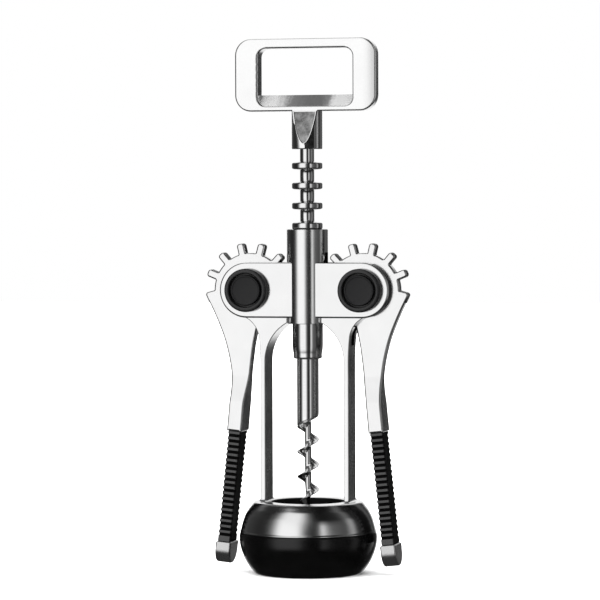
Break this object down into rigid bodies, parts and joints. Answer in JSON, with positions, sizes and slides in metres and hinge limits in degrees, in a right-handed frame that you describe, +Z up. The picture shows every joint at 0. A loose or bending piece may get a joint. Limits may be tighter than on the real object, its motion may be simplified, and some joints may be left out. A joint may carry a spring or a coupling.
{
  "type": "wing corkscrew",
  "caption": "Wing corkscrew: flat opener handle on a ring-toothed shaft and worm, geared side wings on a slotted yoke, and a bell with a black base ring over the bottle neck.",
  "frame": {"origin": "centre of the base ring's lower face, on the worm's axis", "axes": "+X towards the right wing, +Y to the back, +Z up along the worm"},
  "size_m": [0.073, 0.0484, 0.1875],
  "materials": {
    "satin_casting": "satin polished casting",
    "bell_metal": "satin turned ring",
    "turned_steel": "turned and polished",
    "worm_steel": "ground and polished",
    "pin_steel": "plain",
    "shoe_metal": "satin",
    "black_ring": "soft sheen moulded",
    "black_plastic": "fine matte moulded",
    "bush_plastic": "moulded",
    "grip_rubber": "ribbed, smooth sides"
  },
  "bodies": {
    "frame": {"yoke": "satin_casting", "bell": "bell_metal", "base_ring": "black_ring", "left_pivot_pin": "pin_steel", "right_pivot_pin": "pin_steel", "front_left_pivot_flange": "black_plastic", "front_right_pivot_flange": "black_plastic", "back_left_pivot_flange": "black_plastic", "back_right_pivot_flange": "black_plastic", "front_left_pivot_cap": "black_plastic", "front_right_pivot_cap": "black_plastic", "back_left_pivot_cap": "black_plastic", "back_right_pivot_cap": "black_plastic"},
    "guide": {"guide_bush": "bush_plastic"},
    "screw": {"opener_handle": "satin_casting", "rack_shaft": "turned_steel", "worm": "worm_steel", "worm_pin": "pin_steel"},
    "left_wing": {"left_lever": "satin_casting", "left_grip": "grip_rubber", "left_end_cap": "shoe_metal"},
    "right_wing": {"right_lever": "satin_casting", "right_grip": "grip_rubber", "right_end_cap": "shoe_metal"}
  },
  "joints": [
    {"name": "left_wing_pivot", "type": "hinge", "parent": "frame", "child": "left_wing", "pos_m": [-0.02035, 0, 0.0995], "axis": [0, 1, 0], "range_deg": [0, 145]},
    {"name": "right_wing_pivot", "type": "hinge", "parent": "frame", "child": "right_wing", "pos_m": [0.02035, 0, 0.0995], "axis": [0, -1, 0], "range_deg": [0, 145]},
    {"name": "handle_spin", "type": "hinge", "parent": "frame", "child": "guide", "pos_m": [0, 0, 0.117], "axis": [0, 0, 1], "continuous": true},
    {"name": "rack_slide", "type": "slide", "parent": "guide", "child": "screw", "axis": [0, 0, 1], "range_m": [-0.0367, 0]}
  ],
  "couplings": [
    {"joint": "right_wing_pivot", "follows": "left_wing_pivot", "ratio": 1},
    {"joint": "rack_slide", "follows": "left_wing_pivot", "m_per_rad": -0.014483}
  ]
}
